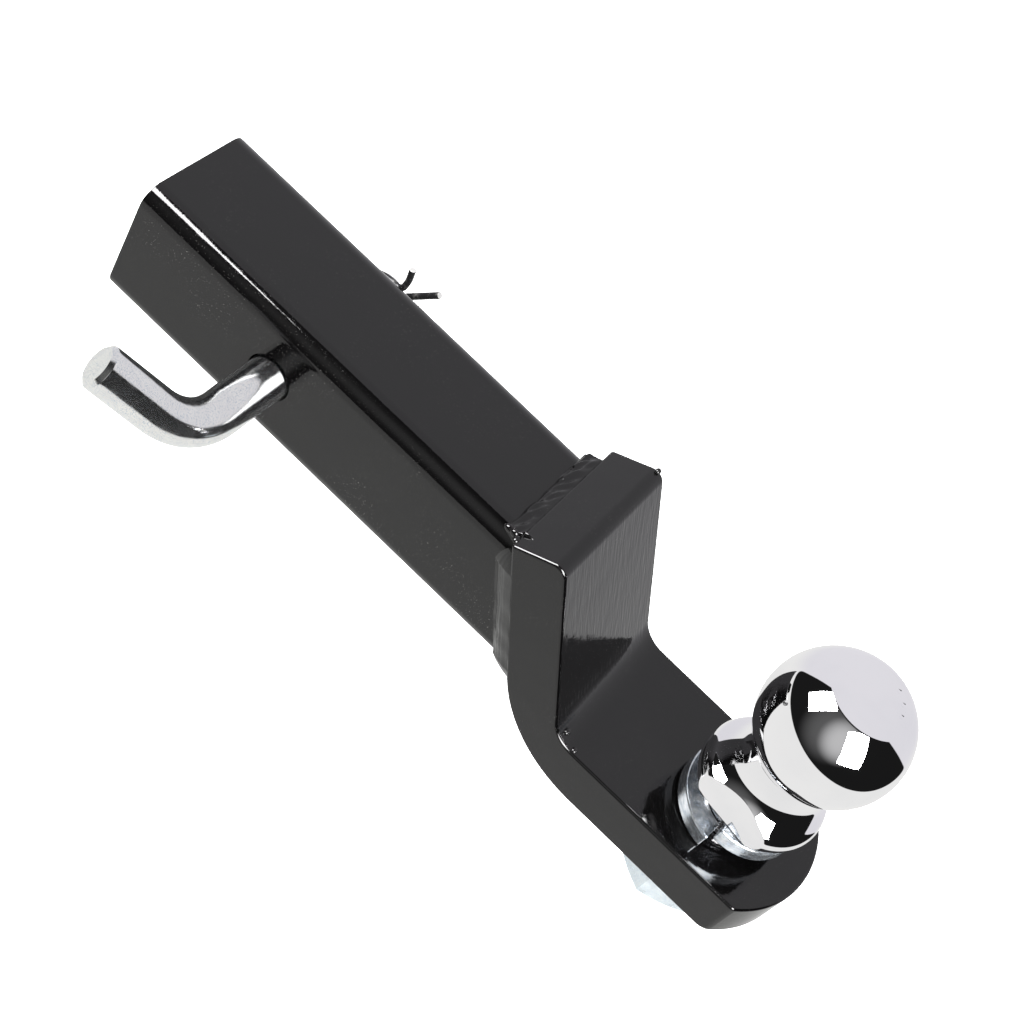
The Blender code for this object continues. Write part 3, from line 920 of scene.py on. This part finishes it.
def make_pin():
    chamfer = 0.0015
    stops = [
        (0, -chamfer), (0.0002, -chamfer * 0.86), (chamfer - 0.0002, -0.0001), (chamfer, 0),
        (0.003, 0),
    ]
    steps = 110
    inner = [0.003 + (PIN_LENGTH - 0.006) * i / steps for i in range(1, steps)]
    stations = stops + [(s, 0) for s in inner] + [(PIN_LENGTH - s, r) for s, r in reversed(stops)]
    side = outward.cross(handle_side)

    def place(u, v):
        distance, shrink = stations[round(u * (len(stations) - 1))]
        point, direction = pin_point(distance)
        inwards = side.cross(direction)
        angle = 2 * math.pi * v
        radius = PIN_RADIUS + shrink
        return point + radius * (inwards * math.cos(angle) + side * math.sin(angle))

    pin = wrapped_grid(len(stations) - 1, 64, place)
    turned = Matrix.Rotation(math.radians(90) - CLIP_TURN, 4, "Y")
    hole = Matrix.Translation((PIN_X, CLIP_Y, 0)) @ turned
    pin = boolean(pin, rod(WIRE_RADIUS + 0.0004, 0.04, hole, 32))
    return make_piece("pin_bar", pin, "pin", pin_zinc, ["hitch_pin"], smooth=32)


pin_bar = make_pin()


def keep_light_off(lamp, *pieces):
    """Keeps the lamp's light and its reflection off these pieces, as a flag in a studio would."""
    flag = bpy.data.collections.new(f"{lamp.name}_flag")
    for piece in pieces:
        flag.objects.link(piece)
    for linked in flag.collection_objects:
        linked.light_linking.link_state = "EXCLUDE"
    lamp.light_linking.receiver_collection = flag


keep_light_off(left_box, pin_bar, washer_coil)
keep_light_off(right_box, pin_bar)

# %% [markdown]
# ## Spring clip
# One piece of spring wire: a straight leg through the pin, a loop, and a bowed leg that snaps
# over it. A smooth curve through a few bends gives the centreline, and a ring is wrapped along
# it. The wire is blackened, but its sheared ends are bare.


# %% Blacken the wire
def black_wire():
    wire, tree, shader = new_material("black_wire")
    coords = add_node(tree, "ShaderNodeTexCoord").outputs["Object"]
    worn = grain(tree, coords, 260, 3.0, 0.6)
    black, bare = (0.030, 0.030, 0.032, 1), (0.16, 0.155, 0.15, 1)
    base = mix_color(tree, ramp(tree, worn, 0.52, 0.68), black, bare)
    tree.links.new(base, shader.inputs["Base Color"])
    tree.links.new(ramp(tree, worn, 0.3, 0.7, 0.22, 0.38), shader.inputs["Roughness"])
    tree.links.new(bump(tree, grain(tree, coords, 2200), 0.000012), shader.inputs["Normal"])
    shader.inputs["Metallic"].default_value = 0.8
    return wire


def cut_steel():
    cut, tree, shader = new_material("cut_steel")
    coords = add_node(tree, "ShaderNodeTexCoord").outputs["Object"]
    lines = grain(tree, stretched(tree, coords, (4000, 900, 900)), 1.0, 2.0)
    base = mix_color(tree, lines, (0.55, 0.55, 0.53, 1), (0.80, 0.80, 0.78, 1))
    tree.links.new(base, shader.inputs["Base Color"])
    tree.links.new(bump(tree, lines, 0.00002), shader.inputs["Normal"])
    shader.inputs["Roughness"].default_value = 0.4
    shader.inputs["Metallic"].default_value = 0.9
    return cut


wire_black, wire_end = black_wire(), cut_steel()


# %% Make the clip
def clip_bends():
    """(along, across) points of the wire, from the straight leg's tip to the bowed leg's tip."""
    hug = PIN_RADIUS + WIRE_RADIUS + 0.0003
    beside = 2 * WIRE_RADIUS + 0.0003
    loop = 0.00645
    tip, back = 0.0281, -0.030
    return [
        (tip, 0), (tip / 2, 0), (back / 2, 0), (back, 0),
        (back - 0.8 * loop, -0.25 * loop), (back - 1.7 * loop, 0.7 * loop),
        (back - loop, 1.75 * loop), (back, 1.35 * loop),
        (-1.9 * hug, 1.35 * beside), (-0.95 * hug, 0.62 * hug), (-0.5 * hug, 0.95 * hug),
        (0, 1.08 * hug), (0.5 * hug, 0.95 * hug), (0.95 * hug, 0.62 * hug),
        (1.25 * hug, beside + WIRE_RADIUS / 2), (1.6 * hug, 1.7 * beside),
        (1.6 * hug + 0.0049, 1.7 * beside + 0.0049),
    ]


def clip_line():
    """Evenly fine points of the smooth curve through the bends, in the row frame."""
    curve = bpy.data.curves.new("clip_line", "CURVE")
    curve.dimensions = "3D"
    curve.resolution_u = 14
    spline = curve.splines.new("BEZIER")
    bends = clip_bends()
    spline.bezier_points.add(len(bends) - 1)
    for target, (forward, across) in zip(spline.bezier_points, bends):
        target.co = (forward, across, 0)
        target.handle_left_type = "AUTO"
        target.handle_right_type = "AUTO"
    holder = bpy.data.objects.new("clip_line", curve)
    bpy.context.scene.collection.objects.link(holder)
    graph = bpy.context.evaluated_depsgraph_get()
    graph.update()
    flat = [v.co.copy() for v in holder.evaluated_get(graph).to_mesh().vertices]
    bpy.data.objects.remove(holder)
    bpy.data.curves.remove(curve)
    along = Vector((math.cos(CLIP_TURN), 0, math.sin(CLIP_TURN)))
    across = Vector((-along.z, 0, along.x))
    pin = Vector((PIN_X, CLIP_Y, 0))
    return [pin + along * p.x + across * p.y for p in flat]


def make_clip():
    line = clip_line()
    last = len(line) - 1
    outwards = Vector((0, 1, 0))

    def place(u, v):
        i = round(u * last)
        direction = (line[min(i + 1, last)] - line[max(i - 1, 0)]).normalized()
        side = direction.cross(outwards)
        angle = 2 * math.pi * v
        return line[i] + WIRE_RADIUS * (side * math.cos(angle) + outwards * math.sin(angle))

    clip = wrapped_grid(last, 16, place)
    for face in clip.faces:
        face.material_index = 1 if len(face.verts) > 4 else 0
    round_edges(clip, 0.0002, 2, above=60)
    return make_piece("clip_wire", clip, "clip", [wire_black, wire_end], ["pin_clip"])


make_clip()


# %% [markdown]
# ## Weld beads
# Four runs join the tube to the bar. A run is laid in overlapping pools, so its crown is a row of
# shallow scallops, a little uneven in width. Each bead is wrapped along its corner, with a
# section that goes from toe to crest over the crown and back under the surface, where it melts
# into both parts.


# %% Lay a weld bead
def weld_bead(
    name, stands_for, corner, along, legs, length, pools=14, seed=0.0, crown=0.0012, ends=0.003,
    ripple=0.00035, weave=(420, 0, 4, 0.00056),
):
    """A bead along a corner. legs are the two vectors from the corner to toe and crest. weave is
    how fast the lumps change along the bead, how far they slant, how fast they change across it
    and how high they are."""
    toe, crest = legs
    sunk = -(toe + crest) * 0.28
    over = (toe.normalized() + crest.normalized()).normalized()
    steps, around = 260, 36

    def place(u, v):
        where = u * length
        wobble = 1 + 0.05 * noise.noise(Vector((where * 150, seed, 0)))
        taper = min(1.0, math.sqrt(max(0.0, min(u, 1 - u) * length / ends)) + 0.25)
        pool = (u * pools + 0.32 * math.sin(math.pi * min(v / 0.7, 1.0)) + seed) % 1.0
        wave = ripple * math.sqrt(max(0.0, 1 - (2 * pool - 1) ** 2))
        if v <= 0.7:
            share = v / 0.7
            base = toe * (1 - share) + crest * share
            arch = math.sin(math.pi * share)
            slanted = where * weave[0] - share * weave[1]
            lump = weave[3] * noise.noise(Vector((slanted, share * weave[2], seed + 7)))
            offset = over * (arch * (crown + wave + lump))
            local = (base * wobble + offset) * taper
        else:
            share = (v - 0.7) / 0.3
            local = (crest * (1 - 2 * share) + sunk * 2 * share) if share < 0.5 else (
                sunk * (2 - 2 * share) + toe * (2 * share - 1)
            )
            local = local * wobble * taper
        return corner + along * (where - length / 2) + local

    bead = wrapped_grid(steps, around, place)
    return make_piece(
        name, bead, "mount", weld_paint, [stands_for], smooth=60, weighted=False
    )


def make_welds():
    slope = Vector((-math.sin(LEAN), 0, math.cos(LEAN)))
    rearward = Vector((-1, 0, 0))
    top = Vector((rear_face_x(HALF_SIDE), 0, HALF_SIDE)) - rearward * 0.0006
    rise = (bar_rear_top - top).length
    weld_bead(
        "bead_top", "weld_top", top, Vector((0, 1, 0)),
        (rearward * 0.0078, slope * (rise - 0.0002)), 0.0500, 7, 0.3, crown=0.0009, ripple=0.00018,
        weave=(260, 3.2, 3.0, 0.0013),
    )
    bottom = Vector((rear_face_x(-HALF_SIDE), 0, -HALF_SIDE))
    weld_bead(
        "bead_bottom", "weld_bottom", bottom, Vector((0, 1, 0)),
        (rearward * 0.0072, -slope * 0.0066), 0.0485, 12, 0.6, crown=0.0004,
    )
    off_face = Vector((-math.cos(LEAN), 0, -math.sin(LEAN)))
    for name, stands_for, side, seed in (
        ("bead_right", "weld_right", -1, 0.1), ("bead_left", "weld_left", 1, 0.8),
    ):
        corner = Vector((rear_face_x(0), side * HALF_SIDE, 0)) - off_face * 0.0007
        legs = (off_face * 0.0092, Vector((0, side * 0.0049, 0)))
        weld_bead(
            name, stands_for, corner, slope, legs, 0.0540, 13, seed, crown=0.0004, ripple=0.0,
            ends=0.012, weave=(30, 0, 9, 0.00012),
        )


make_welds()


# %% Gather drops of paint in the corners
def make_drops():
    """Thick paint that ran together where corners meet: (place, size along x, y and z)."""
    rear, front = bar_rear_top, bar_front_top
    bend = inner_corner + Vector((0, -HALF_BAR, 0))
    drops = (
        (rear + Vector((-0.0040, -0.0242, -0.0014)), (0.0020, 0.0013, 0.0014)),
        (rear + Vector((-0.0018, -0.0251, -0.0004)), (0.0017, 0.0012, 0.0015)),
        (rear + Vector((0.0001, -0.0266, -0.0001)), (0.0013, 0.0016, 0.0010)),
        (rear + Vector((0.0024, -0.0236, 0.0009)), (0.0026, 0.0008, 0.0014)),
        (front + Vector((-0.0016, HALF_BAR - 0.0012, -0.0010)), (0.0010, 0.0012, 0.0009)),
        (bend + Vector((0.0013, 0.0041, 0.0018)), (0.0012, 0.0014, 0.0009)),
        (bend + Vector((0.0072, 0.0021, -0.0001)), (0.0011, 0.0011, 0.0007)),
    )
    pooled = bmesh.new()
    for place, size in drops:
        at = Matrix.Translation(place) @ Matrix.Diagonal((*size, 1))
        bmesh.ops.create_icosphere(pooled, subdivisions=4, radius=1, matrix=at)
    return make_piece(
        "paint_drops", pooled, "mount", weld_paint, smooth=80, weighted=False
    )


make_drops()
